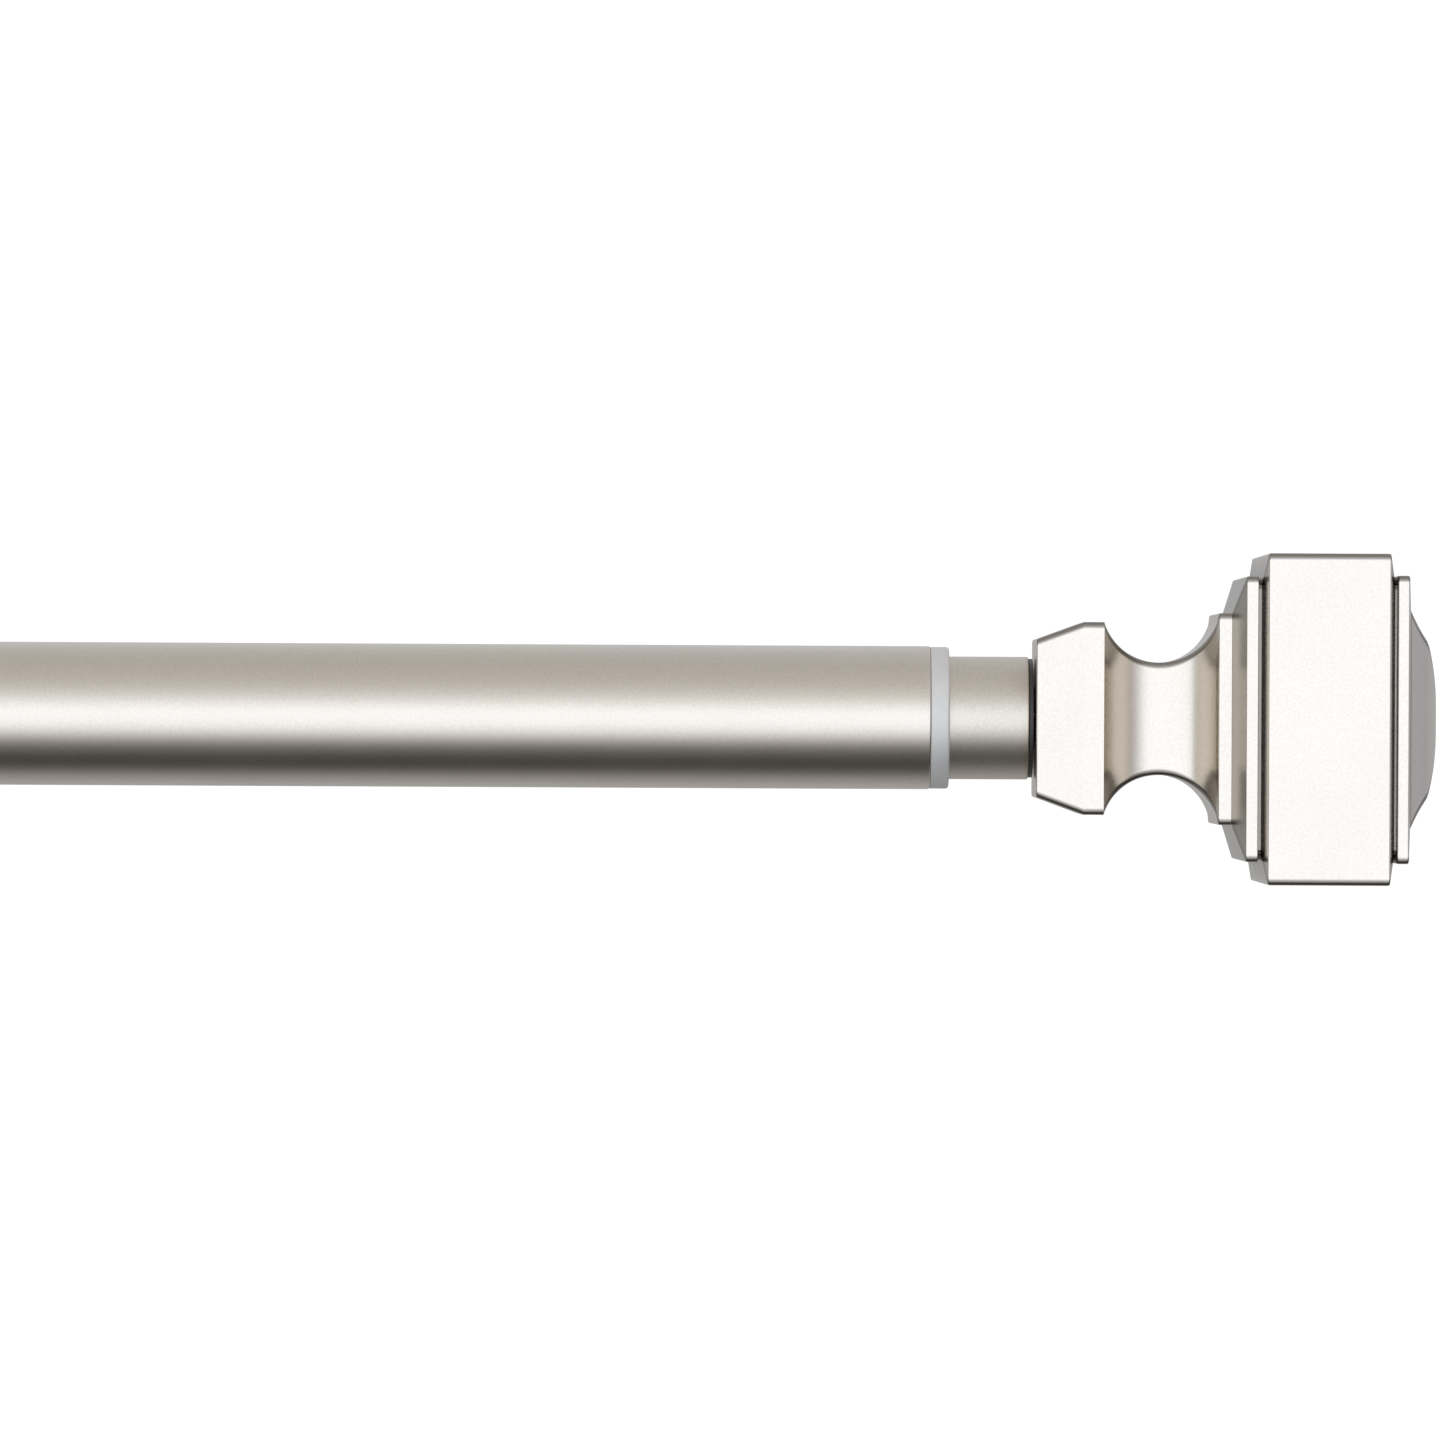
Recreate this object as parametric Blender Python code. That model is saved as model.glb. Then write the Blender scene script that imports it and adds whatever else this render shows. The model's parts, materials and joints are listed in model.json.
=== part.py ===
"""Telescoping curtain rod with square stacked finials, held by two adjustable wall brackets.

Units are metres. +X runs along the rod to the right, +Z is up and the wall lies on the +Y side.
The origin is the middle of the left wall plate's back face. The inner tube is nearly fully in.
Every turned or stacked piece is drawn along its own +X axis, which points out of the assembly,
and is then turned to face the way it does in place.
"""

import math

import bmesh
import bpy

INCH = 0.0254
GAP = 0.0003  # between two pieces that touch
FIT = 0.00015  # radial, for plastic that fills a tube's bore
BORE_OVERRUN = 0.001  # how far a cutter runs past the face that it opens

# Rod
OUTER_R = 0.875 * INCH / 2
INNER_R = 0.75 * INCH / 2
TUBE_WALL = 0.0007
CLOSED_LENGTH = 28 * INCH  # finial face to finial face
PULLED_OUT = 0.0130  # how far the inner tube stands out of its closed place
INNER_TUBE_LENGTH = 0.660
TUBE_SIDES = 48

# Mouth ring: a bushing whose flange closes the outer tube's mouth
RING_FLANGE = 0.0029
RING_R = 0.0110
RING_SLEEVE = 0.024
RING_CHAMFER = 0.0003

# Tail glide: the plug that guides the hidden end of the inner tube
GLIDE_FLANGE = 0.005
GLIDE_SPIGOT = 0.012

# Finial, as distances from its tube face and half widths of its square section
FINIAL_CHAMFER = 0.0007
NECK_HALF = 0.0122
COLLAR_HALF = 0.01485
COLLAR_START = 0.0072
COLLAR_END = 0.0102
SCOTIA_R = 0.0092
SCOTIA_MIDDLE = 0.0190
SCOTIA_WAIST = 0.0087
SCOTIA_STEPS = 8
PLATE_1_START = 0.0279
PLATE_1_END = 0.0299
PLATE_1_HALF = 0.0163
PLATE_2_START = 0.0319
PLATE_2_END = 0.0337
PLATE_2_HALF = 0.0219
GROOVE = 0.0005
GROOVE_HALF = 0.0206
SHOULDER_HALF = 0.0210
SHOULDER = 0.0009
BLOCK_LENGTH = 0.01865
BLOCK_HALF = 0.0254
PLATE_3_LENGTH = 0.0019
PLATE_3_HALF = 0.0221
CAP_STEP = 0.0005
CAP_HALF = 0.0169
CAP_SLOPE = 0.0029
CAP_SLOPE_HALF = 0.01215
DOME_HEIGHT = 0.00215
DOME_STEPS = 4

# What holds a finial
STUD_R = 0.003
STUD_PITCH = 0.00125
STUD_IN_PLUG = 0.010
STUD_IN_FINIAL = 0.0135
INSERT_R = 0.0045
INSERT_LENGTH = 0.011
INSERT_INSET = 0.0005
PLUG_LENGTH = 0.020
PLUG_RIM = 0.0004
PLUG_RIM_DROP = 0.0003  # how far the rim stays inside the tube's outer face

# Brackets
BRACKET_SPACING = 0.330
PROJECTION = 3.5 * INCH
PLATE_HALF = 0.0229
PLATE_THICKNESS = 0.0025
PLATE_CORNER_R = 0.003
SCREW_OFFSET = 0.016
SLEEVE_HALF = 0.00815
SQUARE_TUBE_WALL = 0.0015
SLEEVE_END = 0.052
ARM_HALF = 0.5 * INCH / 2
ARM_BACK = 0.016
ARM_PAST_ROD = 0.0120
ARM_CAP = 0.0018
ARM_CAP_SPIGOT = 0.006
LOCK_PLACE = 0.044

# Bracket cover, as distances from the wall and half widths
COVER_HALF = 0.0254
COVER_BLOCK = 0.0088
COVER_RECESS = 0.0056
COVER_CHAMFER = 0.0009
COVER_PLATE = 0.0115
COVER_PLATE_HALF = 0.0219
COVER_COVE = 0.0195
COVER_COVE_HALF = 0.0125
COVER_COVE_STEPS = 4
COVER_COLLAR = 0.0270
COVER_COLLAR_HALF = 0.01485
SET_SCREW_PLACE = 0.0235
SET_SCREW_R = 0.0015
SET_SCREW_LENGTH = 0.005

# Cradle, in the plane across the rod and measured from the rod's axis
CRADLE_WIDTH = 0.016
CRADLE_INNER_R = OUTER_R + GAP
CRADLE_WALL = 0.0028
CRADLE_FOOT = 0.0140
CRADLE_TIP = 0.0065
CRADLE_CORNER = 0.0040
CRADLE_STEPS = 16

# Screws
THUMB_R = 0.002
THUMB_PITCH = 0.0007
KNOB_R = 0.0055
KNOB_LENGTH = 0.0070
KNOB_STAND_OFF = 0.0022
KNOB_CHAMFER = 0.0007
KNOB_BORE_DEPTH = 0.0050
WALL_SCREW_R = 0.002
WALL_SCREW_HEAD_R = 0.0040
WALL_SCREW_HEAD = 0.0021
WALL_SCREW_LENGTH = 0.032
WALL_SCREW_POINT = 0.006
CRADLE_SCREW_R = 0.002
CRADLE_SCREW_HEAD_R = 0.0036
CRADLE_SCREW_HEAD = 0.0018
CRADLE_SCREW_LENGTH = 0.009
SCREW_SIDES = 16

# Worked out from the sizes above
ROD_HEIGHT = ARM_HALF + GAP + CRADLE_FOOT
OVERHANG = (CLOSED_LENGTH - BRACKET_SPACING - RING_FLANGE - 2 * GAP) / 2
TUBE_END = GAP + PLUG_RIM + GAP  # from a finial's face to the tube behind its plug's rim
LEFT_FACE = -OVERHANG - GAP
TUBE_LEFT = LEFT_FACE + TUBE_END
MOUTH = BRACKET_SPACING + OVERHANG
RIGHT_FACE = MOUTH + RING_FLANGE + GAP + PULLED_OUT
OUTER_BORE_R = OUTER_R - TUBE_WALL
INNER_BORE_R = INNER_R - TUBE_WALL
BLOCK_START = PLATE_2_END + GROOVE + SHOULDER

# Which way a piece's own +X axis points in place
TO_RIGHT = (0, 0, 0)
TO_LEFT = (0, 0, math.pi)
TO_ROOM = (0, 0, -math.pi / 2)
UP = (0, -math.pi / 2, 0)
DOWN = (0, math.pi / 2, 0)


def clear_scene():
    for old in list(bpy.data.objects):
        bpy.data.objects.remove(old, do_unlink=True)


def material(name, colour, roughness, metallic):
    made = bpy.data.materials.new(name)
    made.use_nodes = True
    shader = made.node_tree.nodes["Principled BSDF"]
    shader.inputs["Base Color"].default_value = (*colour, 1)
    shader.inputs["Roughness"].default_value = roughness
    shader.inputs["Metallic"].default_value = metallic
    return made


def satin_nickel(name):
    return material(name, (0.62, 0.58, 0.53), 0.32, 1.0)


def nickel_resin(name):
    return material(name, (0.62, 0.58, 0.53), 0.28, 1.0)


def zinc_steel(name):
    return material(name, (0.66, 0.66, 0.64), 0.35, 1.0)


def brass(name):
    return material(name, (0.75, 0.57, 0.27), 0.30, 1.0)


def clear_plastic(name):
    return material(name, (0.80, 0.84, 0.85), 0.35, 0.0)


def grey_plastic(name):
    return material(name, (0.35, 0.35, 0.34), 0.5, 0.0)


def round_section(sides):
    """Points around a circle, as a function of its radius."""

    def points(radius):
        turns = [2 * math.pi * i / sides for i in range(sides)]
        return [(radius * math.cos(t), radius * math.sin(t)) for t in turns]

    return points


def square_section(chamfer):
    """Points around a square with its corners cut off, as a function of its half width."""

    def points(half):
        cut = half - chamfer
        corners = [(half, -cut), (half, cut), (cut, half), (-cut, half)]
        return corners + [(-y, -z) for y, z in corners]

    return points


def bridge(mesh, ring, following):
    count = max(len(ring), len(following))
    for i in range(count):
        j = (i + 1) % count
        corners = [
            ring[i % len(ring)],
            ring[j % len(ring)],
            following[j % len(following)],
            following[i % len(following)],
        ]
        mesh.faces.new(list(dict.fromkeys(corners)))


def loft(profile, section, hollow=False):
    """A solid along X through the sections at (x, size). A hollow one's profile is a closed loop."""
    mesh = bmesh.new()
    rings = []
    for x, size in profile:
        points = section(size) if size > 0 else [(0, 0)]
        rings.append([mesh.verts.new((x, y, z)) for y, z in points])
    for ring, following in zip(rings, rings[1:]):
        bridge(mesh, ring, following)
    if hollow:
        bridge(mesh, rings[-1], rings[0])
    else:
        for end in (rings[0], rings[-1]):
            if len(end) > 1:
                mesh.faces.new(end)
    return mesh


def slab(outline, low, high):
    """A solid between x = low and x = high with the given outline in Y and Z."""
    mesh = bmesh.new()
    ends = [[mesh.verts.new((x, y, z)) for y, z in outline] for x in (low, high)]
    bridge(mesh, *ends)
    for end in ends:
        mesh.faces.new(end)
    return mesh


def arc(centre, radius, start, end, steps):
    """Points on an arc from the start angle to the end angle, both in degrees."""
    turns = [math.radians(start + (end - start) * i / steps) for i in range(steps + 1)]
    return [
        (centre[0] + radius * math.cos(t), centre[1] + radius * math.sin(t))
        for t in turns
    ]


def frame(name, location, parent=None):
    """An empty on a moving body's axis."""
    made = bpy.data.objects.new(name, None)
    made.empty_display_size = 0.01
    made.location = location
    made.parent = parent
    bpy.context.scene.collection.objects.link(made)
    return made


def piece(name, mesh, look, location, turn=TO_RIGHT, parent=None, smooth=False):
    bmesh.ops.recalc_face_normals(mesh, faces=mesh.faces)
    data = bpy.data.meshes.new(name)
    mesh.to_mesh(data)
    mesh.free()
    if smooth:
        data.shade_smooth()
        data.set_sharp_from_angle(angle=math.radians(35))
    if look:
        data.materials.append(look(name))
    made = bpy.data.objects.new(name, data)
    made.location = location
    made.rotation_euler = turn
    made.parent = parent
    bpy.context.scene.collection.objects.link(made)
    return made


def cut(target, mesh, location, turn=TO_RIGHT, parent=None):
    """Takes the cutter away from the target, and leaves the cutter out of the model."""
    count = len(target.modifiers) + 1
    cutter = piece(f"{target.name}_cutter_{count}", mesh, None, location, turn, parent)
    cutter.hide_render = True
    cutter.display_type = "WIRE"
    boolean = target.modifiers.new(f"cut_{count}", "BOOLEAN")
    boolean.operation = "DIFFERENCE"
    boolean.object = cutter


def cylinder(radius, low, high, sides=SCREW_SIDES):
    return loft([(low, radius), (high, radius)], round_section(sides))


def tube(outer, bore, low, high, section):
    profile = [(low, outer), (high, outer), (high, bore), (low, bore)]
    return loft(profile, section, hollow=True)


# Rod


def add_tubes(rod, sliding, turning):
    section = round_section(TUBE_SIDES)
    outer = tube(OUTER_R, OUTER_BORE_R, TUBE_LEFT, MOUTH, section)
    piece("outer_tube", outer, satin_nickel, (0, 0, 0), parent=rod, smooth=True)
    sleeve_r = OUTER_BORE_R - FIT
    bore_r = INNER_R + FIT
    profile = [
        (-RING_SLEEVE, sleeve_r),
        (FIT, sleeve_r),
        (FIT, RING_R),
        (RING_FLANGE - RING_CHAMFER, RING_R),
        (RING_FLANGE, RING_R - RING_CHAMFER),
        (RING_FLANGE, bore_r),
        (-RING_SLEEVE, bore_r),
    ]
    ring = loft(profile, section, hollow=True)
    piece("mouth_ring", ring, clear_plastic, (MOUTH, 0, 0), parent=rod, smooth=True)

    inner = tube(INNER_R, INNER_BORE_R, -INNER_TUBE_LENGTH, -TUBE_END, section)
    piece("inner_tube", inner, satin_nickel, (0, 0, 0), parent=turning, smooth=True)
    profile = [
        (GLIDE_SPIGOT, 0),
        (GLIDE_SPIGOT, INNER_BORE_R - GAP),
        (-GAP, INNER_BORE_R - GAP),
        (-GAP, OUTER_BORE_R - FIT),
        (-GLIDE_FLANGE, OUTER_BORE_R - FIT),
        (-GLIDE_FLANGE, 0),
    ]
    glide = loft(profile, round_section(TUBE_SIDES))
    piece("tail_glide", glide, grey_plastic, (0, 0, 0), parent=sliding, smooth=True)


def finial_profile():
    """(distance from the tube face, half width) down the finial, with an arc for its waist."""
    centre = (SCOTIA_MIDDLE, SCOTIA_WAIST + SCOTIA_R)
    reach = math.degrees(math.acos((centre[1] - COLLAR_HALF) / SCOTIA_R))
    scotia = arc(centre, SCOTIA_R, 270 - reach, 270 + reach, SCOTIA_STEPS)
    block_end = BLOCK_START + BLOCK_LENGTH
    shoulder_end = block_end + SHOULDER
    plate_3_end = shoulder_end + GAP + PLATE_3_LENGTH
    cap_start = plate_3_end + CAP_STEP
    dome_start = cap_start + CAP_SLOPE
    profile = [(0, NECK_HALF), (COLLAR_START, COLLAR_HALF)]
    profile += scotia
    profile += [
        (PLATE_1_START, PLATE_1_HALF),
        (PLATE_1_END, PLATE_1_HALF),
        (PLATE_2_START, PLATE_2_HALF),
        (PLATE_2_END, PLATE_2_HALF),
        (PLATE_2_END, GROOVE_HALF),
        (PLATE_2_END + GROOVE, GROOVE_HALF),
        (PLATE_2_END + GROOVE, SHOULDER_HALF),
        (BLOCK_START, BLOCK_HALF),
        (block_end, BLOCK_HALF),
        (shoulder_end, SHOULDER_HALF),
        (shoulder_end, GROOVE_HALF),
        (shoulder_end + GAP, GROOVE_HALF),
        (shoulder_end + GAP, PLATE_3_HALF),
        (plate_3_end, PLATE_3_HALF),
        (cap_start, CAP_HALF),
    ]
    for i in range(DOME_STEPS):
        share = 1 - i / DOME_STEPS
        profile.append((dome_start + DOME_HEIGHT * (1 - share**2), CAP_SLOPE_HALF * share))
    profile.append((dome_start + DOME_HEIGHT, 0))
    return profile


def add_finial(side, face, turn, tube_body, tube_r):
    """A finial with its insert, the stud that it screws in on, and the plug in the tube."""
    stud_frame = frame(f"stud_{side}_frame", (face, 0, 0), tube_body)
    finial_frame = frame(f"finial_{side}_frame", (0, 0, 0), stud_frame)
    here = (0, 0, 0)

    body = loft(finial_profile(), square_section(FINIAL_CHAMFER))
    finial = piece(f"finial_{side}", body, nickel_resin, here, turn, finial_frame)
    bore = cylinder(INSERT_R + GAP, -BORE_OVERRUN, STUD_IN_FINIAL + GAP)
    cut(finial, bore, here, turn, finial_frame)

    insert_end = INSERT_INSET + INSERT_LENGTH
    insert = tube(INSERT_R, STUD_R + GAP, INSERT_INSET, insert_end, round_section(SCREW_SIDES))
    piece(f"thread_insert_{side}", insert, brass, here, turn, finial_frame, smooth=True)

    stud = cylinder(STUD_R, -STUD_IN_PLUG, STUD_IN_FINIAL)
    piece(f"finial_stud_{side}", stud, zinc_steel, here, turn, stud_frame, smooth=True)

    plug_r = tube_r - TUBE_WALL - FIT
    rim_r = tube_r - PLUG_RIM_DROP
    rim_back = -GAP - PLUG_RIM
    hole_r = STUD_R + GAP
    hole_end = -STUD_IN_PLUG - GAP
    profile = [(rim_back - PLUG_LENGTH, plug_r), (rim_back, plug_r), (rim_back, rim_r), (-GAP, rim_r)]
    profile += [(-GAP, hole_r), (hole_end, hole_r), (hole_end, 0)]
    plug = loft(profile, round_section(TUBE_SIDES // 2))
    piece(f"end_plug_{side}", plug, grey_plastic, (face, 0, 0), turn, tube_body, smooth=True)


# Brackets


def add_thumb_screw(name, tip, turn, parent, through):
    """A stud that slides along its axis and a knurled knob that turns on it."""
    stud_frame = frame(f"{name}_stud_frame", tip, parent)
    knob_frame = frame(f"{name}_knob_frame", (0, 0, 0), stud_frame)
    knob_start = through + KNOB_STAND_OFF
    bore_end = knob_start + KNOB_BORE_DEPTH
    stud = cylinder(THUMB_R, 0, bore_end - GAP)
    piece(f"{name}_stud", stud, zinc_steel, (0, 0, 0), turn, stud_frame, smooth=True)
    knob_end = knob_start + KNOB_LENGTH
    profile = [
        (bore_end, 0),
        (bore_end, THUMB_R + GAP),
        (knob_start, THUMB_R + GAP),
        (knob_start, KNOB_R - KNOB_CHAMFER),
        (knob_start + KNOB_CHAMFER, KNOB_R),
        (knob_end - KNOB_CHAMFER, KNOB_R),
        (knob_end, KNOB_R - KNOB_CHAMFER),
        (knob_end, 0),
    ]
    knob = loft(profile, round_section(SCREW_SIDES))
    piece(f"{name}_knob", knob, satin_nickel, (0, 0, 0), turn, knob_frame, smooth=True)


def add_wall_plate(side, bracket):
    inset = PLATE_HALF - PLATE_CORNER_R
    outline = []
    for i, corner in enumerate([(1, 1), (-1, 1), (-1, -1), (1, -1)]):
        centre = (corner[0] * inset, corner[1] * inset)
        outline += arc(centre, PLATE_CORNER_R, 90 * i, 90 * i + 90, 3)
    mesh = slab(outline, 0, PLATE_THICKNESS)
    plate = piece(f"wall_plate_{side}", mesh, zinc_steel, (0, 0, 0), TO_ROOM, bracket)
    hole_r = WALL_SCREW_R + GAP
    head_r = WALL_SCREW_HEAD_R + GAP
    for level, z in (("top", SCREW_OFFSET), ("bottom", -SCREW_OFFSET)):
        hole = [
            (-BORE_OVERRUN, hole_r),
            (PLATE_THICKNESS - WALL_SCREW_HEAD, hole_r),
            (PLATE_THICKNESS, head_r),
            (PLATE_THICKNESS + BORE_OVERRUN, head_r),
        ]
        mesh = loft(hole, round_section(SCREW_SIDES))
        cut(plate, mesh, (0, 0, z), TO_ROOM, bracket)
        head_top = PLATE_THICKNESS
        screw = [
            (head_top - WALL_SCREW_LENGTH, 0),
            (head_top - WALL_SCREW_LENGTH + WALL_SCREW_POINT, WALL_SCREW_R),
            (head_top - WALL_SCREW_HEAD, WALL_SCREW_R),
            (head_top, WALL_SCREW_HEAD_R),
            (head_top, 0),
        ]
        mesh = loft(screw, round_section(SCREW_SIDES))
        name = f"wall_screw_{side}_{level}"
        piece(name, mesh, zinc_steel, (0, 0, z), TO_ROOM, bracket, smooth=True)


def add_cover(side, bracket):
    """The square stacked cover over the wall plate, held on the sleeve by a set screw."""
    hole = SLEEVE_HALF + GAP
    recess = PLATE_HALF + GAP
    profile = [
        (GAP, recess),
        (GAP, COVER_HALF),
        (COVER_BLOCK - COVER_CHAMFER, COVER_HALF),
        (COVER_BLOCK, COVER_PLATE_HALF),
        (COVER_PLATE, COVER_PLATE_HALF),
    ]
    cove_depth = COVER_COVE - COVER_PLATE
    for i in range(1, COVER_COVE_STEPS + 1):
        share = i / COVER_COVE_STEPS
        rise = (COVER_PLATE_HALF - COVER_COVE_HALF) * math.sin(share * math.pi / 2)
        x = COVER_PLATE + cove_depth * (1 - math.cos(share * math.pi / 2))
        profile.append((x, COVER_PLATE_HALF - rise))
    profile += [
        (COVER_COVE, COVER_COLLAR_HALF),
        (COVER_COLLAR, COVER_COLLAR_HALF),
        (COVER_COLLAR, hole),
        (COVER_RECESS, hole),
        (COVER_RECESS, recess),
    ]
    mesh = loft(profile, square_section(FINIAL_CHAMFER), hollow=True)
    cover = piece(f"bracket_cover_{side}", mesh, satin_nickel, (0, 0, 0), TO_ROOM, bracket)
    place = (0, -SET_SCREW_PLACE, 0)
    bore = cylinder(SET_SCREW_R + GAP, hole - BORE_OVERRUN, COVER_COLLAR_HALF + BORE_OVERRUN)
    cut(cover, bore, place, DOWN, bracket)
    screw = cylinder(SET_SCREW_R, hole, hole + SET_SCREW_LENGTH)
    piece(f"cover_set_screw_{side}", screw, zinc_steel, place, DOWN, bracket, smooth=True)


def add_arm(side, bracket, arm):
    """The sleeve on the wall plate, the square tube that slides in it, and the lock screw."""
    section = square_section(FINIAL_CHAMFER)
    sleeve_bore = SLEEVE_HALF - SQUARE_TUBE_WALL
    mesh = tube(SLEEVE_HALF, sleeve_bore, PLATE_THICKNESS + GAP, SLEEVE_END, section)
    sleeve = piece(f"arm_sleeve_{side}", mesh, satin_nickel, (0, 0, 0), TO_ROOM, bracket)
    lock = (0, -LOCK_PLACE, 0)
    bore = cylinder(THUMB_R + GAP, ARM_HALF - BORE_OVERRUN, SLEEVE_HALF + BORE_OVERRUN)
    cut(sleeve, bore, lock, DOWN, bracket)
    tip = (0, -LOCK_PLACE, -sleeve_bore)
    add_thumb_screw(f"arm_lock_{side}", tip, DOWN, bracket, SQUARE_TUBE_WALL)

    arm_bore = ARM_HALF - SQUARE_TUBE_WALL
    arm_end = PROJECTION + ARM_PAST_ROD
    mesh = tube(ARM_HALF, arm_bore, ARM_BACK, arm_end, section)
    arm_tube = piece(f"arm_tube_{side}", mesh, satin_nickel, (0, 0, 0), TO_ROOM, arm)
    bore = cylinder(CRADLE_SCREW_R + GAP, arm_bore - BORE_OVERRUN, ARM_HALF + BORE_OVERRUN)
    cut(arm_tube, bore, (0, -PROJECTION, 0), UP, arm)
    spigot = arm_bore - GAP
    profile = [
        (-ARM_CAP_SPIGOT, spigot),
        (GAP, spigot),
        (GAP, ARM_HALF),
        (ARM_CAP - FINIAL_CHAMFER, ARM_HALF),
        (ARM_CAP, ARM_HALF - FINIAL_CHAMFER),
    ]
    mesh = loft(profile, section)
    piece(f"arm_end_cap_{side}", mesh, satin_nickel, (0, -arm_end, 0), TO_ROOM, arm)


def add_cradle(side, arm):
    """The open yoke that the outer tube lies in, with the screws that hold both."""
    outer = CRADLE_INNER_R + CRADLE_WALL
    knee = CRADLE_FOOT - CRADLE_CORNER
    outline = [(-outer, CRADLE_TIP), (-outer, -knee)]
    outline += [(-outer + CRADLE_CORNER, -CRADLE_FOOT), (outer - CRADLE_CORNER, -CRADLE_FOOT)]
    outline += [(outer, -knee), (outer, CRADLE_TIP), (CRADLE_INNER_R, CRADLE_TIP)]
    outline += arc((0, 0), CRADLE_INNER_R, 0, -180, CRADLE_STEPS)
    outline += [(-CRADLE_INNER_R, CRADLE_TIP)]
    axis = (0, -PROJECTION, ROD_HEIGHT)
    mesh = slab(outline, -CRADLE_WIDTH / 2, CRADLE_WIDTH / 2)
    cradle = piece(f"cradle_{side}", mesh, satin_nickel, axis, parent=arm)

    bore = cylinder(THUMB_R + GAP, CRADLE_INNER_R - BORE_OVERRUN, outer + BORE_OVERRUN)
    cut(cradle, bore, axis, TO_ROOM, arm)
    tip = (0, -PROJECTION - CRADLE_INNER_R, ROD_HEIGHT)
    add_thumb_screw(f"rod_clamp_{side}", tip, TO_ROOM, arm, CRADLE_WALL)

    head_top = ROD_HEIGHT - CRADLE_INNER_R - GAP
    foot = (0, -PROJECTION, head_top)
    hole_r = CRADLE_SCREW_R + GAP
    head_r = CRADLE_SCREW_HEAD_R + GAP
    hole = [
        (-CRADLE_FOOT, hole_r),
        (-CRADLE_SCREW_HEAD - GAP, hole_r),
        (-GAP, head_r),
        (CRADLE_INNER_R / 2, head_r),
    ]
    mesh = loft(hole, round_section(SCREW_SIDES))
    cut(cradle, mesh, foot, UP, arm)
    screw = [
        (-CRADLE_SCREW_LENGTH, 0),
        (-CRADLE_SCREW_LENGTH, CRADLE_SCREW_R),
        (-CRADLE_SCREW_HEAD, CRADLE_SCREW_R),
        (0, CRADLE_SCREW_HEAD_R),
        (0, 0),
    ]
    mesh = loft(screw, round_section(SCREW_SIDES))
    piece(f"cradle_screw_{side}", mesh, zinc_steel, foot, UP, arm, smooth=True)


def add_bracket(side, x):
    bracket = frame(f"bracket_{side}_frame", (x, 0, 0))
    arm = frame(f"arm_{side}_frame", (0, 0, 0), bracket)
    add_wall_plate(side, bracket)
    add_cover(side, bracket)
    add_arm(side, bracket, arm)
    add_cradle(side, arm)
    return arm


def add_rod(arm):
    rod = frame("rod_frame", (0, -PROJECTION, ROD_HEIGHT), arm)
    tail = RIGHT_FACE - INNER_TUBE_LENGTH
    sliding = frame("tail_glide_frame", (tail, 0, 0), rod)
    turning = frame("inner_tube_frame", (INNER_TUBE_LENGTH, 0, 0), sliding)
    add_tubes(rod, sliding, turning)
    add_finial("left", LEFT_FACE, TO_LEFT, rod, OUTER_R)
    add_finial("right", 0, TO_RIGHT, turning, INNER_R)


clear_scene()
left_arm = add_bracket("left", 0)
add_bracket("right", BRACKET_SPACING)
add_rod(left_arm)
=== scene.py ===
"""Looks of a telescoping curtain rod with square stacked finials on two wall brackets.

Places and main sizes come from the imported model, in metres: +X runs along the rod to the right, +Z is
up and the wall is on the +Y side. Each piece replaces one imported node. It is a fine mesh drawn in
millimetres along its own +X axis, which points out of the assembly, then turned and put in place.
"""

import json
import math

import bmesh
import bpy
from mathutils import Matrix, Vector

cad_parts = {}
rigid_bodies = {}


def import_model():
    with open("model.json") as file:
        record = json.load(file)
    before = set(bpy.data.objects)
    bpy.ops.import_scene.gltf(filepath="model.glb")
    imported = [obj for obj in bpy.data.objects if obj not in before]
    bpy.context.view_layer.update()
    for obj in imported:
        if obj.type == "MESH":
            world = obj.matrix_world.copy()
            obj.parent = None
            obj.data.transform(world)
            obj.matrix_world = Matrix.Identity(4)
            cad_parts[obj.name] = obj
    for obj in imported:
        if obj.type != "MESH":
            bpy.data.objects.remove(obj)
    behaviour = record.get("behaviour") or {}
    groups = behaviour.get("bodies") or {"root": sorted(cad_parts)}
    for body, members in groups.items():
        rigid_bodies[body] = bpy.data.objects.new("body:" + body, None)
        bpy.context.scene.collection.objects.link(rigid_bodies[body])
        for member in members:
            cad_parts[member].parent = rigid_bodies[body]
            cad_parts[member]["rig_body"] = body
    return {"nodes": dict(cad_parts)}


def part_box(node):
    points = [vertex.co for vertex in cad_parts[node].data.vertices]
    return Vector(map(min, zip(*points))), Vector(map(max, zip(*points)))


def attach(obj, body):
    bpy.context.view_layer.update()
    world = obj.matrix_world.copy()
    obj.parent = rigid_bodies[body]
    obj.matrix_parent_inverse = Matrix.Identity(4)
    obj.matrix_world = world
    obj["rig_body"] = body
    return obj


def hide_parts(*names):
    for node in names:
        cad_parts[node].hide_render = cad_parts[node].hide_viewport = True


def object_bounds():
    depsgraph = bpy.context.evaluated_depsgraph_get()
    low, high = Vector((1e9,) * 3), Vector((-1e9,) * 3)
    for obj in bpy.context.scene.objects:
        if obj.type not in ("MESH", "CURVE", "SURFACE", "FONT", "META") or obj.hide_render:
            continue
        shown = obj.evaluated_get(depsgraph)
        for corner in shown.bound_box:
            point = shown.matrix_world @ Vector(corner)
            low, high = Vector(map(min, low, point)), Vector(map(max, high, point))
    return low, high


MM = 0.001

# Edges that bend more than this, in degrees, stay sharp
SMOOTH_ANGLE = 40
CAST_ANGLE = 32
KNOB_ANGLE = 30

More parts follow.
